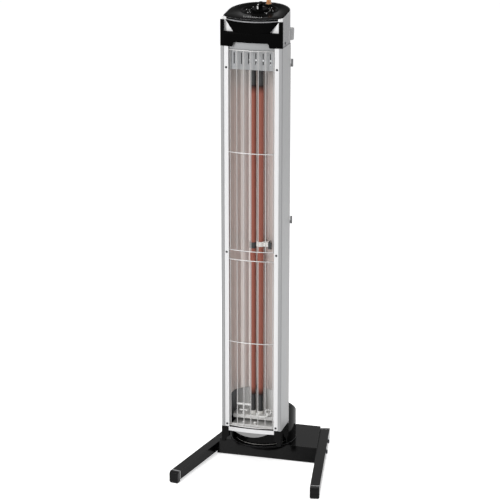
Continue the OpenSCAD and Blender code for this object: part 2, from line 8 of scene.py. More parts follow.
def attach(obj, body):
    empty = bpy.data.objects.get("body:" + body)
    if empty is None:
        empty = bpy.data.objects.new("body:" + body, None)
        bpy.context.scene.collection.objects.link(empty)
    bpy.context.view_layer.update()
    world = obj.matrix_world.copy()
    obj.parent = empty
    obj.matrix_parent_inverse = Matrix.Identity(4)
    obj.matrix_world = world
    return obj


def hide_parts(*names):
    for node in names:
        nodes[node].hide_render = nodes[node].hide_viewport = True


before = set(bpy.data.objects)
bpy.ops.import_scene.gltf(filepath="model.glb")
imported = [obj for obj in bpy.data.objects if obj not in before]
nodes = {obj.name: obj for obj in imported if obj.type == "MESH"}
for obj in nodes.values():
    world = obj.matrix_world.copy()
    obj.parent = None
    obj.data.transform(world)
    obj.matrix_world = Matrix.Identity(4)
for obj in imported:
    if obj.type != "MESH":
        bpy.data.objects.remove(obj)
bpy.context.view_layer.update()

MM = 0.001
FULL = 2 * math.pi

# The tower's own axes, and the tilted control panel's
TOWER = Vector((-0.027, -0.005, 0.0))
TILT = math.radians(6.3)
PANEL = Matrix.Translation(TOWER + Vector((0, -0.045, 1.328))) @ Matrix.Rotation(TILT, 4, "X")


# Materials
def linear(value):
    """One sRGB channel, 0 to 255, as linear light."""
    c = value / 255
    return c / 12.92 if c <= 0.04045 else ((c + 0.055) / 1.055) ** 2.4


def srgb(r, g, b):
    return (linear(r), linear(g), linear(b), 1.0)


def scaled(tone, factor):
    return tuple(c * factor for c in tone)


class Nodes:
    """A material's node tree with short calls."""

    def __init__(self, name):
        self.mat = bpy.data.materials.new(name)
        self.mat.use_nodes = True
        self.tree = self.mat.node_tree
        self.tree.nodes.clear()
        self.out = self.add("ShaderNodeOutputMaterial")
        self.bsdf = self.add("ShaderNodeBsdfPrincipled")
        self.link(self.bsdf.outputs["BSDF"], self.out.inputs["Surface"])
        self.coord = self.add("ShaderNodeTexCoord").outputs["Object"]

    def add(self, kind, **values):
        n = self.tree.nodes.new(kind)
        for k, v in values.items():
            setattr(n, k, v)
        return n

    def link(self, a, b):
        self.tree.links.new(a, b)

    def mapped(self, scale):
        m = self.add("ShaderNodeMapping")
        m.inputs["Scale"].default_value = scale
        self.link(self.coord, m.inputs["Vector"])
        return m.outputs["Vector"]

    def noise(self, scale, detail=3.0, rough=0.55, stretch=None):
        n = self.add("ShaderNodeTexNoise")
        n.inputs["Scale"].default_value = scale
        n.inputs["Detail"].default_value = detail
        n.inputs["Roughness"].default_value = rough
        self.link(self.mapped(stretch) if stretch else self.coord, n.inputs["Vector"])
        return n.outputs["Fac"]

    def ramp(self, fac, stops):
        r = self.add("ShaderNodeValToRGB")
        ramp = r.color_ramp
        while len(ramp.elements) < len(stops):
            ramp.elements.new(0.5)
        for e, (pos, col) in zip(ramp.elements, stops):
            e.position = pos
            e.color = col if len(col) == 4 else (*col, 1)
        self.link(fac, r.inputs["Fac"])
        return r.outputs["Color"]

    def clouds(self, fac, dark, light):
        """Two tones over the middle of a noise's range."""
        return self.ramp(fac, [(0.3, dark), (0.7, light)])

    def span(self, fac, low, high, lo=0.3, hi=0.7):
        m = self.add("ShaderNodeMapRange")
        m.inputs["From Min"].default_value = lo
        m.inputs["From Max"].default_value = hi
        m.inputs["To Min"].default_value = low
        m.inputs["To Max"].default_value = high
        self.link(fac, m.inputs["Value"])
        return m.outputs["Result"]

    def mix(self, fac, a, b, blend="MIX"):
        m = self.add("ShaderNodeMix", data_type="RGBA", blend_type=blend)
        for socket, value in ((m.inputs["Factor"], fac), (m.inputs["A"], a), (m.inputs["B"], b)):
            if isinstance(value, bpy.types.NodeSocket):
                self.link(value, socket)
            else:
                socket.default_value = value
        return m.outputs["Result"]

    def bump(self, height, strength, distance=0.0004, edge=0.0):
        b = self.add("ShaderNodeBump")
        b.inputs["Strength"].default_value = strength
        b.inputs["Distance"].default_value = distance
        self.link(height, b.inputs["Height"])
        if edge:
            v = self.add("ShaderNodeBevel", samples=4)
            v.inputs["Radius"].default_value = edge
            self.link(v.outputs["Normal"], b.inputs["Normal"])
        self.link(b.outputs["Normal"], self.bsdf.inputs["Normal"])

    def edge(self, radius):
        """1 on a worn outer edge, 0 elsewhere."""
        v = self.add("ShaderNodeBevel", samples=4)
        v.inputs["Radius"].default_value = radius
        g = self.add("ShaderNodeNewGeometry")
        d = self.add("ShaderNodeVectorMath", operation="DOT_PRODUCT")
        self.link(v.outputs["Normal"], d.inputs[0])
        self.link(g.outputs["Normal"], d.inputs[1])
        return self.span(d.outputs["Value"], 1.0, 0.0, 0.86, 0.995)

    def set(self, **values):
        for k, v in values.items():
            socket = self.bsdf.inputs[k.replace("_", " ")]
            if isinstance(v, bpy.types.NodeSocket):
                self.link(v, socket)
            else:
                socket.default_value = v


def black_plastic(name, base=0.003, rough=(0.05, 0.10), shine=0.002, peel=0.03):
    m = Nodes(name)
    m.set(Base_Color=m.clouds(m.noise(9, 4), (base * 0.8,) * 3, (base * 1.3,) * 3),
          Roughness=m.span(m.noise(60, 5), *rough), Specular_IOR_Level=shine)
    m.bump(m.noise(900, 2), peel, 0.0002, edge=0.0006)
    return m.mat


def black_enamel(name):
    m = Nodes(name)
    worn = m.edge(0.0009)
    fleck = m.mix(worn, (0.003, 0.003, 0.0031, 1), (0.10, 0.10, 0.102, 1))
    m.set(Base_Color=fleck, Roughness=m.span(m.noise(40, 5), 0.10, 0.18), Specular_IOR_Level=0.03)
    m.bump(m.noise(1400, 3), 0.06, 0.0002, edge=0.0010)
    return m.mat


def silver_paint(name):
    m = Nodes(name)
    tone = (0.30, 0.302, 0.305)
    fleck = m.noise(2600, 2, 0.7)
    base = m.clouds(fleck, scaled(tone, 0.88), scaled(tone, 1.12))
    shade = m.clouds(m.noise(5, 3), (0.96, 0.96, 0.97), (1.0, 1.0, 1.0))
    m.set(Base_Color=m.mix(1.0, base, shade, "MULTIPLY"), Metallic=0.25,
          Roughness=m.span(fleck, 0.38, 0.5), Coat_Weight=0.2, Coat_Roughness=0.2)
    m.bump(m.noise(1500, 3), 0.08, 0.0002, edge=0.0006)
    return m.mat


def speckled_silver(name):
    m = Nodes(name)
    v = m.add("ShaderNodeTexVoronoi", feature="F1")
    v.inputs["Scale"].default_value = 900
    m.link(m.coord, v.inputs["Vector"])
    grain = m.ramp(v.outputs["Color"], [
        (0.0, (0.16, 0.16, 0.165)), (0.55, (0.22, 0.22, 0.225)), (1.0, (0.36, 0.36, 0.37))])
    m.set(Base_Color=grain, Metallic=0.2, Roughness=m.span(m.noise(300, 3), 0.36, 0.5))
    m.bump(m.noise(1800, 3), 0.12, 0.0002, edge=0.0006)
    return m.mat


def satin_metal(name, tone, rough=(0.28, 0.4), streak=(3, 3, 160), metal=1.0, strength=0.05):
    m = Nodes(name)
    lines = m.noise(60, 4, 0.6, stretch=streak)
    m.set(Base_Color=m.clouds(lines, scaled(tone, 0.93), tone), Metallic=metal,
          Roughness=m.span(lines, *rough))
    m.bump(lines, strength, 0.0001, edge=0.0005)
    return m.mat


# Heights in metres over which the rods turn red above the lower cold end, and black at the upper one
RED_IN = (0.207, 0.232)
RED_OUT = (1.112, 1.137)


def rod_material(name):
    """Red-brown coating that turns black towards both cold ends."""
    m = Nodes(name)
    sep = m.add("ShaderNodeSeparateXYZ")
    m.link(m.coord, sep.inputs["Vector"])
    grain = m.noise(500, 4, 0.6)
    red = m.clouds(grain, (0.30, 0.106, 0.078), (0.362, 0.129, 0.097))
    low = m.span(sep.outputs["Z"], 1.0, 0.0, *RED_IN)
    high = m.span(sep.outputs["Z"], 0.0, 1.0, *RED_OUT)
    black = m.add("ShaderNodeMath", operation="MAXIMUM")
    m.link(low, black.inputs[0])
    m.link(high, black.inputs[1])
    m.set(Base_Color=m.mix(black.outputs["Value"], red, (0.016, 0.016, 0.017, 1)),
          Roughness=m.span(grain, 0.55, 0.7), Specular_IOR_Level=0.04)
    m.bump(grain, 0.15, 0.0003)
    return m.mat


def matt(name, tone, rough=(0.5, 0.7), scale=400, strength=0.15, **more):
    m = Nodes(name)
    grain = m.noise(scale, 4, 0.6)
    light = tuple(min(1, c) for c in scaled(tone, 1.05))
    m.set(Base_Color=m.clouds(grain, scaled(tone, 0.9), light), Roughness=m.span(grain, *rough), **more)
    m.bump(grain, strength, 0.0003, edge=0.0005)
    return m.mat


def amber(name):
    m = Nodes(name)
    swirl = m.noise(120, 2)
    m.set(Base_Color=m.clouds(swirl, srgb(205, 140, 88), srgb(226, 168, 118)), Roughness=0.16,
          Coat_Weight=0.6, Coat_Roughness=0.05, Subsurface_Weight=0.3, Subsurface_Scale=0.004)
    m.bump(swirl, 0.05, 0.0002)
    return m.mat


enamel = black_enamel("black_enamel")
gloss = black_plastic("gloss_black")
base_gloss = black_plastic("base_gloss_black", base=0.004, shine=0.06)
satin_black = black_plastic("satin_black", base=0.006, rough=(0.12, 0.2), shine=0.1, peel=0.08)
paint = silver_paint("silver_paint")
speckle = speckled_silver("speckled_silver")
sheet = satin_metal("satin_sheet", (0.60, 0.60, 0.605), rough=(0.34, 0.46), metal=0.75)
tray_sheet = satin_metal("tray_sheet", (0.74, 0.735, 0.72), rough=(0.34, 0.5), metal=0.2)
apron_sheet = satin_metal("apron_sheet", (0.24, 0.24, 0.24), rough=(0.4, 0.55), metal=0.3)
vent_sheet = satin_metal("vent_sheet", (0.30, 0.305, 0.31), rough=(0.4, 0.52), metal=0.4)
chrome = satin_metal("bright_wire", (0.50, 0.495, 0.49), rough=(0.3, 0.4), streak=(40, 40, 40),
                     metal=0.7)
mirror = satin_metal("reflector_sheet", (0.78, 0.73, 0.70), rough=(0.34, 0.44), streak=(90, 90, 2),
                     metal=0.45, strength=0.03)
zinc = satin_metal("zinc_steel", (0.5, 0.5, 0.52), rough=(0.35, 0.5), streak=(90, 90, 90))
rods = rod_material("rod_coating")
cold = matt("cold_end", (0.022, 0.022, 0.023), rough=(0.4, 0.55))
ceramic = matt("ceramic", (0.80, 0.79, 0.76), rough=(0.35, 0.5), strength=0.08)
nylon = matt("nylon", (0.7, 0.69, 0.65))
rubber = matt("rubber", (0.03, 0.03, 0.03), rough=(0.7, 0.85), scale=900, strength=0.3)
lens = amber("amber_lens")
switch_grey = matt("switch_grey", (0.05, 0.052, 0.056))
screw_black = satin_metal("screw_black", (0.05, 0.05, 0.055), rough=(0.3, 0.45), streak=(60, 60, 60))
print_grey = matt("print_grey", (0.55, 0.55, 0.55), rough=(0.45, 0.55))
print_white = matt("print_white", (0.85, 0.85, 0.84), rough=(0.45, 0.55))
# Near-white silver for the rear shell's front faces: painted highlight
painted_highlight_silver = matt("painted_highlight_silver", (0.86, 0.86, 0.86), rough=(0.3, 0.4), scale=900, strength=0.05,
                     Metallic=0.1)
sleeve_white = matt("sleeve_white", (0.86, 0.86, 0.84), rough=(0.4, 0.5), scale=700, strength=0.1)

USES = {
    enamel: ["base_beam", "left_leg", "right_leg", "swivel_plate"],
    gloss: ["head_front_cover", "head_top_panel", "control_knob"],
    base_gloss: ["swivel_drum", "rear_cowl", "bottom_cover"],
    satin_black: ["front_foot_caps", "rear_foot_caps", "cord_gland"],
    rubber: ["foot_pads"],
    paint: ["left_side_panel", "right_side_panel", "back_panel", "cord_hooks"],
    speckle: ["head_rear_cover", "rear_handle"],
    sheet: ["bottom_rail", "left_guard_rail", "right_guard_rail"],
    tray_sheet: ["lower_tray"],
    vent_sheet: ["louvre_plate", "upper_rail"],
    mirror: ["reflector"],
    chrome: ["upper_guard", "lower_guard"],
    zinc: ["leg_nuts", "swivel_spindle", "spindle_ring", "tower_bracket"],
    rods: ["left_rod", "right_rod"],
    cold: ["rod_cold_ends", "support_clips"],
    ceramic: ["lower_ceramics", "middle_support", "terminal_block", "thermostat"],
    nylon: ["bearing_washer"],
    lens: ["pilot_lamp"],
    switch_grey: ["rotary_switch", "tip_over_switch"],
    screw_black: ["leg_bolts", "guard_screws", "cover_screws"],
}
for mat, names in USES.items():
    for n in names:
        mesh = nodes[n].data
        mesh.materials.clear()
        mesh.materials.append(mat)
        for p in mesh.polygons:
            p.material_index = 0


# Pieces
def piece(name, bm, mat, body, smooth=True, bevel=0.0):
    mesh = bpy.data.meshes.new(name)
    bmesh.ops.recalc_face_normals(bm, faces=bm.faces)
    bm.to_mesh(mesh)
    bm.free()
    mesh.materials.append(mat)
    ob = bpy.data.objects.new(name, mesh)
    bpy.context.scene.collection.objects.link(ob)
    for p in mesh.polygons:
        p.use_smooth = smooth
    if bevel:
        soft = ob.modifiers.new("soft", "BEVEL")
        soft.width = bevel
        soft.segments = 2
        soft.limit_method = "ANGLE"
        soft.angle_limit = math.radians(35)
    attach(ob, body)
    return ob


def mark(bm, centre, size, angle=0.0):
    """A bar on the panel in millimetres: centre, then size across, along and thick."""
    turned = Matrix.Translation(Vector(centre) * MM) @ Matrix.Rotation(angle, 4, "Z")
    stretch = Matrix.Diagonal((*(Vector(size) * MM), 1))
    bmesh.ops.create_cube(bm, size=1.0, matrix=PANEL @ turned @ stretch)


def at(x, y, z):
    """A point from tower millimetres."""
    return TOWER + Vector((x, y, z)) * MM


def on_panel(x, v, h):
    """A point from the tilted panel's millimetres: across, up the slope, above its underside."""
    return PANEL @ (Vector((x, v, h)) * MM)


def loft(bm, rings, first=False, last=False):
    """Faces between successive closed rings of points, with end faces where asked."""
    loops = [[bm.verts.new(p) for p in ring] for ring in rings]
    for low, high in zip(loops, loops[1:]):
        n = len(low)
        for i in range(n):
            j = (i + 1) % n
            bm.faces.new((low[i], low[j], high[j], high[i]))
    if first:
        bm.faces.new(list(reversed(loops[0])))
    if last:
        bm.faces.new(loops[-1])


def round_bar(width, height, r, n=4):
    """A rounded rectangle as (side, up) pairs."""
    out = []
    for cx, cy, start in ((1, 1, 0), (-1, 1, 90), (-1, -1, 180), (1, -1, 270)):
        for i in range(n + 1):
            a = math.radians(start + 90 * i / n)
            out.append((cx * (width / 2 - r) + r * math.cos(a), cy * (height / 2 - r) + r * math.sin(a)))
    return out


def sweep(bm, path, section, up):
    """Carries a closed section of (side, up) millimetre pairs along a path of points."""
    rings = []
    for i, p in enumerate(path):
        along = (path[min(i + 1, len(path) - 1)] - path[max(i - 1, 0)]).normalized()
        side = along.cross(up).normalized()
        rise = side.cross(along)
        rings.append([p + side * a * MM + rise * b * MM for a, b in section])
    loft(bm, rings, first=True, last=True)


def block(bm, low, high):
    """A box between two corners in tower millimetres."""
    size = (Vector(high) - Vector(low)) * MM
    middle = at(*((Vector(low) + Vector(high)) / 2))
    bmesh.ops.create_cube(bm, size=1.0, matrix=Matrix.Translation(middle) @ Matrix.Diagonal((*size, 1)))


def revolve(bm, matrix, profile, n=48, last=False):
    """A turned shape: profile is (radius, height) pairs in millimetres about the matrix's Z."""
    turns = [FULL * i / n for i in range(n)]
    rings = [[matrix @ (Vector((r * math.cos(a), r * math.sin(a), h)) * MM) for a in turns]
             for r, h in profile]
    loft(bm, rings, last=last)


# The head in millimetres: its plan is a box with a round back, seen from the knob's centre
HEAD_Z = 1256
LIFT = 0.1
HEAD_HALF = 88
HEAD_STRAIGHT = 35
HALF_DEPTH = 45
SILVER_FRONT = -HALF_DEPTH + 8
KNOB_Y = 42
PANEL_T = 9
PANEL_HALF = HEAD_HALF - 1.5
PANEL_CORNER_Y = -28.9
FRONT_R = 147
FRONT_Y = -57
DIAL_V = (KNOB_Y + HALF_DEPTH) / math.cos(TILT)
PLAN_STEPS = 160


def ray_in_circle(angle, centre_y, radius):
    """How far a ray from the knob's centre runs inside a circle on the middle line."""
    b = (KNOB_Y - centre_y) * math.sin(angle)
    return math.sqrt(b * b + radius * radius - (KNOB_Y - centre_y) ** 2) - b


def reach(angle, half, inset, bow_front):
    """Distance from the knob's centre to the head's outline."""
    back = ray_in_circle(angle, HEAD_STRAIGHT, half - inset)
    if KNOB_Y + back * math.sin(angle) >= HEAD_STRAIGHT:
        return back
    side = (half - inset) / max(abs(math.cos(angle)), 1e-6)
    if bow_front:
        return min(side, ray_in_circle(angle, FRONT_Y + FRONT_R, FRONT_R - inset))
    if math.sin(angle) < 0:
        return min(side, (SILVER_FRONT + inset - KNOB_Y) / math.sin(angle))
    return side


def outline_angles():
    """Even steps round the knob, and a ray through each front corner of shell and panel."""
    out = [FULL * i / PLAN_STEPS for i in range(PLAN_STEPS)]
    for x, y in ((HEAD_HALF, SILVER_FRONT), (PANEL_HALF, PANEL_CORNER_Y)):
        a = math.atan2(y - KNOB_Y, x)
        out += [a % FULL, (math.pi - a) % FULL]
    return sorted(out)


ANGLES = outline_angles()


def plan_ring(half, inset, bow_front):
    out = []
    for a in ANGLES:
        r = reach(a, half, inset, bow_front)
        out.append((r * math.cos(a), KNOB_Y + r * math.sin(a)))
    return out


def level_ring(plan, h):
    """A plan carried to the tilted plane, h above the panel's underside."""
    return [on_panel(x, y + HALF_DEPTH, h) for x, y in plan]


def upright_ring(plan, h):
    """The same plan cut by that plane straight above its own points."""
    rise = HALF_DEPTH + h * math.sin(TILT)
    return [on_panel(x, (y + rise) / math.cos(TILT), h) for x, y in plan]


def circle_ring(radius, h):
    return [on_panel(radius * math.cos(a), DIAL_V + radius * math.sin(a), h) for a in ANGLES]


# Panel: a rolled rim, then circles round the knob as (radius, depth below the top)
RIM_R = 3.2
RIM_STEPS = 6
UNDERSIDE = 0.2
SHAFT_R = 4.2
RECESS = 2
DIAL_STEPS = ((57, 0), (55.6, 0.9), (50.6, 0.9), (49.6, 0.2), (48.8, 0.2), (47.2, RECESS),
              (SHAFT_R, RECESS))


def control_panel():
    bm = bmesh.new()
    bottom = level_ring(plan_ring(PANEL_HALF, 0.4, True), UNDERSIDE)
    rings = [bottom]
    for i in range(RIM_STEPS + 1):
        a = math.radians(90 * i / RIM_STEPS)
        inset = RIM_R * (1 - math.cos(a))
        height = PANEL_T - RIM_R + RIM_R * math.sin(a)
        rings.append(level_ring(plan_ring(PANEL_HALF, inset, True), height))
    for radius, depth in DIAL_STEPS:
        rings.append(circle_ring(radius, PANEL_T - depth))
    rings += [circle_ring(SHAFT_R, UNDERSIDE), bottom]
    loft(bm, rings)
    bmesh.ops.remove_doubles(bm, verts=bm.verts, dist=1e-6)
    ob = piece("control_panel", bm, gloss, "tower")
    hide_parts("head_top_panel")


# Rear shell: a wall round the head, closed on top up to the panel it carries, with painted highlight on
# its front
SHELL_WALL = 2.5
SHELL_TOP = PANEL_T - 1
SHELL_SOFT = 0.8
SHELL_HIGHLIGHT_Y = -20


def rear_shell():
    inner = plan_ring(HEAD_HALF, SHELL_WALL, False)
    outer = plan_ring(HEAD_HALF, 0, False)
    seat = plan_ring(PANEL_HALF, -0.1, True)
    rings = [[at(x, y, HEAD_Z + LIFT) for x, y in plan] for plan in (inner, outer)]
    rings.append(upright_ring(outer, SHELL_TOP - SHELL_SOFT))
    rings.append(upright_ring(plan_ring(HEAD_HALF, 0.6, False), SHELL_TOP))
    rings.append(upright_ring(seat, SHELL_TOP))
    rings.append(upright_ring(seat, 0))
    rings.append(upright_ring(plan_ring(PANEL_HALF, 8, True), 0))
    bm = bmesh.new()
    loft(bm, rings)
    ob = piece("rear_shell", bm, speckle, "tower", smooth=False)
    # The shell's front faces and the front part of its top get a near-white copy of its silver: painted
    # highlight
    ob.data.materials.append(painted_highlight_silver)
    round_from = at(0, HEAD_STRAIGHT, 0).y
    highlight_to = at(0, SHELL_HIGHLIGHT_Y, 0).y
    for p in ob.data.polygons:
        p.use_smooth = p.center.y > round_from and abs(p.normal.z) < 0.5
        if p.normal.y < -0.9 or (p.center.y < highlight_to and p.normal.z > 0.9):
            p.material_index = 1
    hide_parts("head_rear_cover")


# Front cover: bowed skirt with an arch, corner posts and the tapering pod
HALF_W = 90
BOW = 10
BOW_R = (HALF_W ** 2 + BOW ** 2) / (2 * BOW)
SKIRT_H = 41
SKIRT_T = 5
SLICE = 5
POST_IN = 79
POST_H = 74
ARCH_HALF = 52
ARCH_H = 13
ARCH_CUT = 4
ARCH_FLARE = 3
POD_LOW = 50
POD_HIGH = 78
POD_Z0 = HEAD_Z + SKIRT_H - 2
POD_Z1 = 1329
POD_BACK = SILVER_FRONT - 0.2
POD_STEPS = 8
POD_ACROSS = 32


def skirt_y(x):
    return -HALF_DEPTH - BOW + BOW_R - math.sqrt(BOW_R ** 2 - x * x)


def pod_y(x):
    return FRONT_Y + 1 + FRONT_R - math.sqrt(FRONT_R ** 2 - x * x)


def skirt(bm):
    """The skirt's flat outline, sliced, thickened and then bent to the bow."""
    half = [(ARCH_HALF + ARCH_FLARE, 0), (HALF_W, 0), (HALF_W, POST_H)]
    half += [(POST_IN, POST_H), (POST_IN, SKIRT_H)]
    arch = [(ARCH_HALF, ARCH_FLARE), (ARCH_HALF, ARCH_H - ARCH_CUT), (ARCH_HALF - ARCH_CUT, ARCH_H)]
    outline = [(-x, z) for x, z in half] + list(reversed(half))
    outline += arch + [(-x, z) for x, z in reversed(arch)]
    bm.faces.new([bm.verts.new((x, 0, z)) for x, z in outline])
    for i in range(1, 2 * HALF_W // SLICE):
        geom = bm.verts[:] + bm.edges[:] + bm.faces[:]
        cut = (-HALF_W + i * SLICE, 0, 0)
        bmesh.ops.bisect_plane(bm, geom=geom, plane_co=cut, plane_no=(1, 0, 0), dist=0.01)
    thick = bmesh.ops.extrude_face_region(bm, geom=bm.faces[:])
    moved = [v for v in thick["geom"] if isinstance(v, bmesh.types.BMVert)]
    bmesh.ops.translate(bm, verts=moved, vec=(0, SKIRT_T, 0))
    for v in bm.verts:
        v.co = at(v.co.x, v.co.y + skirt_y(v.co.x), HEAD_Z + LIFT + v.co.z)


def front_cover():
    bm = bmesh.new()
    skirt(bm)
    rings = []
    for k in range(POD_STEPS + 1):
        z = POD_Z0 + (POD_Z1 - POD_Z0) * k / POD_STEPS
        half = POD_LOW + (POD_HIGH - POD_LOW) * k / POD_STEPS
        across = [-half + 2 * half * i / POD_ACROSS for i in range(POD_ACROSS + 1)]
        back = [at(half, POD_BACK, z), at(-half, POD_BACK, z)]
        rings.append([at(x, pod_y(x), z) for x in across] + back)
    loft(bm, rings, first=True, last=True)
    block(bm, (-POST_IN, -HALF_DEPTH - 2, HEAD_Z + SKIRT_H - 2), (POST_IN, POD_BACK, HEAD_Z + SKIRT_H))
    ob = piece("front_cover", bm, gloss, "tower", smooth=False, bevel=0.0008)
    for p in ob.data.polygons:
        p.use_smooth = abs(p.normal.z) < 0.5 and p.normal.y < -0.6
    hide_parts("head_front_cover")


# Carrying handle: a rounded bar bent into a drooping loop
HANDLE_HALF = 76.0
HANDLE_ROOT = 84
HANDLE_NECK = 100
HANDLE_OUT = 154.0
HANDLE_FLAT = 30
HANDLE_BEND = 24.0
HANDLE_BAR = 11.0
HANDLE_H = 36.0
HANDLE_ROUND = 3.5
HANDLE_DROOP = math.radians(9)


def droop(x, y, z):
    """A point of the loop turned down about the tower's rear edge."""
    cos, sin = math.cos(HANDLE_DROOP), math.sin(HANDLE_DROOP)
    away = y - HALF_DEPTH
    return at(x, HALF_DEPTH + away * cos + z * sin, HEAD_Z + 4 - away * sin + z * cos)


def carry_handle():
    r = HANDLE_BEND - HANDLE_BAR / 2
    side = HANDLE_HALF - HANDLE_BAR / 2
    back = HANDLE_OUT - HANDLE_BAR / 2
    half = [(side, HANDLE_ROOT), (side, HANDLE_NECK)]
    for degrees in range(0, 91, 10):
        a = math.radians(degrees)
        half.append((side - r + r * math.cos(a), back - r + r * math.sin(a)))
    half.append((HANDLE_FLAT, back))
    loop = half + [(-x, y) for x, y in reversed(half)]
    up = (droop(0, 0, 1) - droop(0, 0, 0)).normalized()
    bm = bmesh.new()
    path = [droop(x, y, HANDLE_H / 2) for x, y in loop]
    sweep(bm, path, round_bar(HANDLE_BAR, HANDLE_H, HANDLE_ROUND), up)
    ob = piece("carry_handle", bm, speckle, "tower")
    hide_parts("rear_handle")


# Dial: ticks and plain numbers in the recess, a mark on the knob whose front bar is also painted
# highlight, a ring round the lamp
TICKS = 25
TICK_R = 28.5
TICK_H = PANEL_T - 1.95
NUMBERS = 7
NUMBER_R = 38
NUMBER_H = PANEL_T - 1.93
NUMBER_SIZE = 7.5
SWEEP = math.radians(270)
SCALE_BARS = 9
SCALE_PITCH = 6.4
SCALE_V = 14.5
SCALE_LINE_V = 9.6
SCALE_H = PANEL_T + 0.02
KNOB_HIGHLIGHT_MARK = (0, DIAL_V - 20.1, PANEL_T + 11.3)
KNOB_TOP = (0, DIAL_V - 14, PANEL_T + 18.32)
LAMP_PLACE = (12, 142, PANEL_T)
LAMP_RING = ((7.7, 0.05), (10.2, 0.05), (10.2, 1.1), (9.4, 2.0), (7.9, 2.0), (7.7, 1.8), (7.7, 0.05))


def dial_angle(share):
    """The direction of a share of the sweep, which leaves the front of the dial free."""
    return math.radians(-90) - SWEEP / 2 + SWEEP * share + math.pi


def dial_ticks():
    bm = bmesh.new()
    for i in range(TICKS):
        a = dial_angle(i / (TICKS - 1))
        length, width = (3.6, 0.9) if i % 4 == 0 else (2.0, 0.6)
        r = TICK_R + length / 2
        mark(bm, (r * math.cos(a), DIAL_V + r * math.sin(a), TICK_H), (length, width, 0.1), a)
    for i in range(SCALE_BARS):
        place = ((i - SCALE_BARS // 2) * SCALE_PITCH, SCALE_V, SCALE_H)
        mark(bm, place, (0.9, 7 if i % 2 == 0 else 4, 0.1))
    mark(bm, (0, SCALE_LINE_V, SCALE_H), (54, 0.8, 0.1))
    piece("dial_ticks", bm, print_grey, "tower", smooth=False)


def dial_numbers():
    for i in range(NUMBERS):
        a = dial_angle(i / (NUMBERS - 1))
        text = bpy.data.curves.new(f"dial_number_{i}", "FONT")
        text.body = str(i)
        text.size = NUMBER_SIZE * MM
        text.extrude = 0.04 * MM
        text.align_x = "CENTER"
        text.align_y = "CENTER"
        text.materials.append(print_white)
        number = bpy.data.objects.new(f"dial_number_{i}", text)
        place = Vector((NUMBER_R * math.cos(a), DIAL_V + NUMBER_R * math.sin(a), NUMBER_H))
        number.matrix_world = PANEL @ Matrix.Translation(place * MM)
        bpy.context.scene.collection.objects.link(number)
        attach(number, "tower")


def knob_mark():
    bm = bmesh.new()
    # White bar on the knob's front: a pointer mark that also stands in for the highlight there, so
    # partly painted highlight
    mark(bm, KNOB_HIGHLIGHT_MARK, (4.2, 0.4, 9))
    mark(bm, KNOB_TOP, (1.6, 12, 0.12))
    piece("knob_mark", bm, print_white, "knob", smooth=False, bevel=0.0001)


def lamp_ring():
    bm = bmesh.new()
    revolve(bm, PANEL @ Matrix.Translation(Vector(LAMP_PLACE) * MM), LAMP_RING)
    piece("lamp_ring", bm, satin_black, "tower")


# Rod support: white half ring round the right rod, black one round the left rod, black clip at the end
ROD_Y = 14
ROD_R = 8.5
ROD_X = 11
ROD_GAP = 0.2
SUPPORT_Z = 664
LEDGE_X = ROD_X + 25
RING_STEPS = 16


def half_ring(bm, x, z0, z1, inner, outer):
    """The front half of a ring round an upright rod."""
    rings = []
    for i in range(RING_STEPS + 1):
        a = math.pi + math.pi * i / RING_STEPS
        corners = ((inner, z0), (outer, z0), (outer, z1), (inner, z1))
        rings.append([at(x + r * math.cos(a), ROD_Y + r * math.sin(a), z) for r, z in corners])
    loft(bm, rings, first=True, last=True)


def rod_saddle():
    z = SUPPORT_Z
    bm = bmesh.new()
    half_ring(bm, ROD_X, z, z + 14, ROD_R + ROD_GAP, ROD_R + 3.6)
    block(bm, (-ROD_X - 10, ROD_Y - 4, z + 11), (-ROD_X - ROD_R - 0.3, ROD_Y + 6, z + 14))
    block(bm, (ROD_X + ROD_R + 0.3, ROD_Y - 6, z), (LEDGE_X, ROD_Y + 8, z + 13))
    block(bm, (-2.2, ROD_Y + 2, z), (2.2, 30, z + 14))
    ob = piece("rod_saddle", bm, ceramic, "tower", smooth=False, bevel=0.0008)
    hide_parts("middle_support")


def saddle_clips():
    z = SUPPORT_Z
    bm = bmesh.new()
    half_ring(bm, -ROD_X, z - 7, z + 11, ROD_R + ROD_GAP, ROD_R + 1.6)
    block(bm, (LEDGE_X + 0.2, ROD_Y - 10, z - 5), (LEDGE_X + 11, ROD_Y - 8, z + 15))
    block(bm, (LEDGE_X + 0.2, ROD_Y - 8, z - 5), (LEDGE_X + 2.2, ROD_Y + 12, z + 15))
    ob = piece("saddle_clips", bm, cold, "tower", smooth=False, bevel=0.0005)
    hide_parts("support_clips")


# Space under the reflector: floor, rear wall and the bracket that holds the rods
RAIL_IN = 67
TRAY_HALF = RAIL_IN - 1.5
TRAY_FRONT = -37
TRAY_BACK = 41
TRAY_TOP = 218
BRACKET_Z = 145
BRACKET_FRONT = -8
TOWER_Z0 = 120
DECK_Z = TOWER_Z0 + 1.6
SLEEVE_R = 2.9
SLEEVE_SIDES = 12
SLEEVE_Y = -14
SLEEVE_LOOP = ((8.9, 158), (9.4, 152), (13, 148.5), (18, 147.6), (24.2, 147.4),
               (31, 147.8), (37, 149.5), (40.5, 154), (41.5, 161))
POSTS = ((5, 4.2), (-30, 3.2))
POST_Y = -20
POST_PROFILE = ((1.3, 0), (1.3, 1.4), (0.8, 2.0), (0.8, 5.5), (1.1, 6.2), (1.1, 9.0), (0.7, 10.4),
                (0.05, 10.6))
BEADS = 9
BEAD_R = 2.7
BEAD_LOOP = (43, 164)
BEAD_LOOP_SIZE = (9, 7)
BEAD_Y = -12


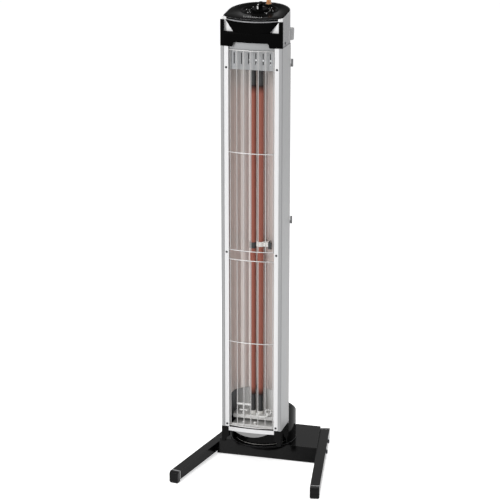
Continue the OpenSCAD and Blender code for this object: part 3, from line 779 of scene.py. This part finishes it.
def lower_deck():
    bm = bmesh.new()
    block(bm, (-TRAY_HALF, BRACKET_FRONT, BRACKET_Z), (TRAY_HALF, TRAY_BACK, BRACKET_Z + 2))
    block(bm, (-TRAY_HALF, BRACKET_FRONT, BRACKET_Z - 9), (TRAY_HALF, BRACKET_FRONT + 1.5, BRACKET_Z))
    block(bm, (-TRAY_HALF, TRAY_BACK, TOWER_Z0 + LIFT), (TRAY_HALF, TRAY_BACK + 1.4, TRAY_TOP))
    block(bm, (-TRAY_HALF, TRAY_FRONT, TOWER_Z0 + LIFT), (TRAY_HALF, TRAY_BACK, DECK_Z))
    block(bm, (-TRAY_HALF, TRAY_FRONT, DECK_Z), (TRAY_HALF, TRAY_FRONT + 1.5, TOWER_Z0 + 9))
    ob = piece("lower_deck", bm, tray_sheet, "tower", smooth=False, bevel=0.0004)
    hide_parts("lower_tray")


def wire_sleeves():
    """One looped sleeve, and two turned posts given as (x, radius) on the deck."""
    bm = bmesh.new()
    turns = [FULL * i / SLEEVE_SIDES for i in range(SLEEVE_SIDES)]
    section = [(SLEEVE_R * math.cos(a), SLEEVE_R * math.sin(a)) for a in turns]
    sweep(bm, [at(x, SLEEVE_Y, z) for x, z in SLEEVE_LOOP], section, Vector((0, 1, 0)))
    for x, radius in POSTS:
        foot = Matrix.Translation(at(x, POST_Y, DECK_Z))
        revolve(bm, foot, [(share * radius, h) for share, h in POST_PROFILE], n=20, last=True)
    piece("wire_sleeves", bm, sleeve_white, "tower")


def sleeve_beads():
    bm = bmesh.new()
    for i in range(BEADS):
        a = FULL * i / BEADS
        x = BEAD_LOOP[0] + BEAD_LOOP_SIZE[0] * math.cos(a)
        z = BEAD_LOOP[1] + BEAD_LOOP_SIZE[1] * math.sin(a)
        centre = Matrix.Translation(at(x, BEAD_Y, z))
        bmesh.ops.create_uvsphere(bm, u_segments=12, v_segments=8, radius=BEAD_R * MM, matrix=centre)
    piece("sleeve_beads", bm, sleeve_white, "tower")


def terminal_strips():
    bm = bmesh.new()
    block(bm, (-52, -18, 181), (-9, -17, 187))
    block(bm, (-44, -16, 163), (-20, -15, 167))
    block(bm, (-34, -15, 147), (-31, -8, 187))
    piece("terminal_strips", bm, tray_sheet, "tower", smooth=False, bevel=0.0003)


# Curved apron under the bottom rail
APRON_HALF = 50
APRON_SAG = 14
APRON_TOP = 107.5
APRON_T = 1.4
APRON_R = (APRON_HALF ** 2 + APRON_SAG ** 2) / (2 * APRON_SAG)
APRON_STEPS = 32


def rail_apron():
    rings = []
    for i in range(APRON_STEPS + 1):
        x = -APRON_HALF + 2 * APRON_HALF * i / APRON_STEPS
        low = APRON_TOP - (math.sqrt(APRON_R * APRON_R - x * x) - (APRON_R - APRON_SAG))
        low = min(low, APRON_TOP - 0.4)
        y = -HALF_DEPTH - 3.6 + 2.0 * (x / APRON_HALF) ** 2
        corners = ((y, low), (y, APRON_TOP), (y + APRON_T, APRON_TOP), (y + APRON_T, low))
        rings.append([at(x, depth, z) for depth, z in corners])
    bm = bmesh.new()
    loft(bm, rings, first=True, last=True)
    piece("rail_apron", bm, apron_sheet, "tower", smooth=False)


# A lip of bright metal where each foot cap meets its leg, painting the highlight of the cap's edge
FOOT_HALF_W = 223.5
FOOT_HALF_L = 231.5
LEG_W = 27.6
LEG_TOP = 34.5
LEG_LOW = 8.0
LEG_SPLAY = math.radians(9.9)
LEG_RUN = (FOOT_HALF_L - LEG_W * math.sin(LEG_SPLAY) / 2) / math.cos(LEG_SPLAY)
LEG_X = FOOT_HALF_W - LEG_W * math.cos(LEG_SPLAY) - LEG_RUN * math.sin(LEG_SPLAY)
LEG_Y = -LEG_W * math.sin(LEG_SPLAY) / 2
CAP_L = 15.0
LIP_OUT = 0.25
LIP_T = 0.5
LIP_HALF = 0.8


def leg_ring(grow):
    """The leg's section grown on all sides, as (across, up) pairs."""
    w = LEG_W / 2 + grow
    low, top = LEG_LOW - grow, LEG_TOP + grow
    return [(-w, low), (w, low), (w, top), (-w, top)]


def cap_lips():
    bm = bmesh.new()
    turn = Matrix.Translation(Vector((LEG_X, LEG_Y, 0)) * MM) @ Matrix.Rotation(LEG_SPLAY, 4, "Z")
    outer = leg_ring(LIP_OUT)
    inner = leg_ring(LIP_OUT - LIP_T)
    section = ((inner, -LIP_HALF), (outer, -LIP_HALF), (outer, LIP_HALF), (inner, LIP_HALF))
    for side in (-1, 1):
        for end in (-1, 1):
            along = Matrix.Translation(Vector((LEG_W / 2, end * (LEG_RUN - CAP_L), 0)) * MM)
            m = Matrix.Scale(side, 4, (1, 0, 0)) @ turn @ along
            closed = section + section[:1]
            loft(bm, [[m @ (Vector((x, y, z)) * MM) for x, z in ring] for ring, y in closed])
    bmesh.ops.remove_doubles(bm, verts=bm.verts, dist=1e-6)
    # The bright metal on this lip is painted highlight
    piece("cap_lips", bm, sheet, "foot", smooth=False)


# Rivets down both sides of the back
RIVET_X = 84.5
RIVET_Z = 190
RIVET_PITCH = 142
RIVETS = 8
RIVET_PROFILE = ((3.0, 0), (2.8, 0.5), (2.0, 1.0), (0.9, 1.25), (0.02, 1.3))


def back_rivets():
    bm = bmesh.new()
    backwards = Matrix.Rotation(math.radians(-90), 4, "X")
    for side in (-1, 1):
        for i in range(RIVETS):
            place = at(side * RIVET_X, HALF_DEPTH + 1.5, RIVET_Z + i * RIVET_PITCH)
            revolve(bm, Matrix.Translation(place) @ backwards, RIVET_PROFILE, n=20, last=True)
    piece("back_rivets", bm, zinc, "tower")


# Cross slots in the guard screws
SCREW_X = (RAIL_IN + 80) / 2
SCREW_Z = (TOWER_Z0 + 8, 656, 1195)
SLOT_TURN = 0.6


def screw_slots():
    bm = bmesh.new()
    bar = Matrix.Diagonal((0.0034, 0.0003, 0.0008, 1))
    for x in (-SCREW_X, SCREW_X):
        for z in SCREW_Z:
            head = Matrix.Translation(at(x, -HALF_DEPTH - 1.12, z))
            for turn in (SLOT_TURN, SLOT_TURN + math.pi / 2):
                bmesh.ops.create_cube(bm, size=1.0, matrix=head @ Matrix.Rotation(turn, 4, "Y") @ bar)
    piece("screw_slots", bm, screw_black, "tower", smooth=False)


for build in (control_panel, rear_shell, front_cover, carry_handle, dial_ticks, dial_numbers,
              knob_mark, lamp_ring, rod_saddle, saddle_clips, lower_deck, wire_sleeves, sleeve_beads,
              terminal_strips, rail_apron, cap_lips, back_rivets, screw_slots):
    build()


# Stage
WHITE = (1, 1, 1, 1)
FILL = 0.42
SEEN = 1.0
FLOOR_GLOW = 0.6
FLOOR_SIZE = 9.0


def seen_directly(tree):
    """1 for rays from the camera and through or off a shiny surface, 0 for the rest."""
    paths = tree.nodes.new("ShaderNodeLightPath")
    mirrored = tree.nodes.new("ShaderNodeMath")
    mirrored.operation = "MAXIMUM"
    shown = tree.nodes.new("ShaderNodeMath")
    shown.operation = "MAXIMUM"
    tree.links.new(paths.outputs["Is Glossy Ray"], mirrored.inputs[0])
    tree.links.new(paths.outputs["Is Transmission Ray"], mirrored.inputs[1])
    tree.links.new(paths.outputs["Is Camera Ray"], shown.inputs[0])
    tree.links.new(mirrored.outputs["Value"], shown.inputs[1])
    return shown.outputs["Value"]


def backdrop(tree, strength):
    shader = tree.nodes.new("ShaderNodeBackground")
    shader.inputs["Color"].default_value = WHITE
    shader.inputs["Strength"].default_value = strength
    return shader.outputs["Background"]


def pick(tree, unseen, seen, target):
    """Shows one shader to directly seen rays and the other to the rest."""
    both = tree.nodes.new("ShaderNodeMixShader")
    tree.links.new(seen_directly(tree), both.inputs["Fac"])
    tree.links.new(unseen, both.inputs[1])
    tree.links.new(seen, both.inputs[2])
    tree.links.new(both.outputs["Shader"], target)


def studio_world():
    world = bpy.data.worlds.new("studio")
    bpy.context.scene.world = world
    world.use_nodes = True
    tree = world.node_tree
    tree.nodes.clear()
    out = tree.nodes.new("ShaderNodeOutputWorld")
    pick(tree, backdrop(tree, FILL), backdrop(tree, SEEN), out.inputs["Surface"])


def floor_material():
    m = Nodes("pale_floor")
    m.set(Base_Color=m.clouds(m.noise(3, 3), (0.93, 0.93, 0.93), (0.95, 0.95, 0.95)), Roughness=0.8,
          Specular_IOR_Level=0.1)
    glow = m.add("ShaderNodeEmission")
    glow.inputs["Strength"].default_value = FLOOR_GLOW
    lit = m.add("ShaderNodeAddShader")
    m.link(m.bsdf.outputs["BSDF"], lit.inputs[0])
    m.link(glow.outputs["Emission"], lit.inputs[1])
    pick(m.tree, m.bsdf.outputs["BSDF"], lit.outputs["Shader"], m.out.inputs["Surface"])
    return m.mat


def floor_sheet():
    bm = bmesh.new()
    bmesh.ops.create_grid(bm, x_segments=1, y_segments=1, size=FLOOR_SIZE)
    mesh = bpy.data.meshes.new("floor")
    bm.to_mesh(mesh)
    bm.free()
    mesh.materials.append(floor_material())
    floor = bpy.data.objects.new("floor", mesh)
    bpy.context.scene.collection.objects.link(floor)


def softbox(name, place, aim, size, watts):
    light = bpy.data.lights.new(name, "AREA")
    light.shape = "RECTANGLE"
    light.size = size[0]
    light.size_y = size[1]
    light.energy = watts
    ob = bpy.data.objects.new(name, light)
    ob.location = place
    ob.rotation_euler = (Vector(aim) - Vector(place)).to_track_quat("-Z", "Y").to_euler()
    bpy.context.scene.collection.objects.link(ob)


def photo_camera():
    """The camera fitted to the photograph."""
    data = bpy.data.cameras.new("camera")
    data.lens = 150.0
    data.sensor_width = 36.0
    data.clip_end = 60
    cam = bpy.data.objects.new("camera", data)
    cam.location = (1.5120, -5.5311, 2.4039)
    cam.rotation_mode = "QUATERNION"
    cam.rotation_quaternion = Vector((-0.25915308, 0.92073256, -0.29170401)).to_track_quat("-Z", "Y")
    bpy.context.scene.collection.objects.link(cam)
    bpy.context.scene.camera = cam


studio_world()
floor_sheet()
softbox("key", (-1.6, -3.2, 2.6), (0, 0, 0.7), (1.8, 2.4), 95)
softbox("top", (0.2, 0.3, 3.6), (0, 0, 0.6), (2.2, 2.2), 45)
softbox("rear", (1.8, 2.6, 2.2), (0, 0, 0.8), (1.6, 2.0), 14)
photo_camera()
bpy.context.scene.view_settings.view_transform = "Standard"
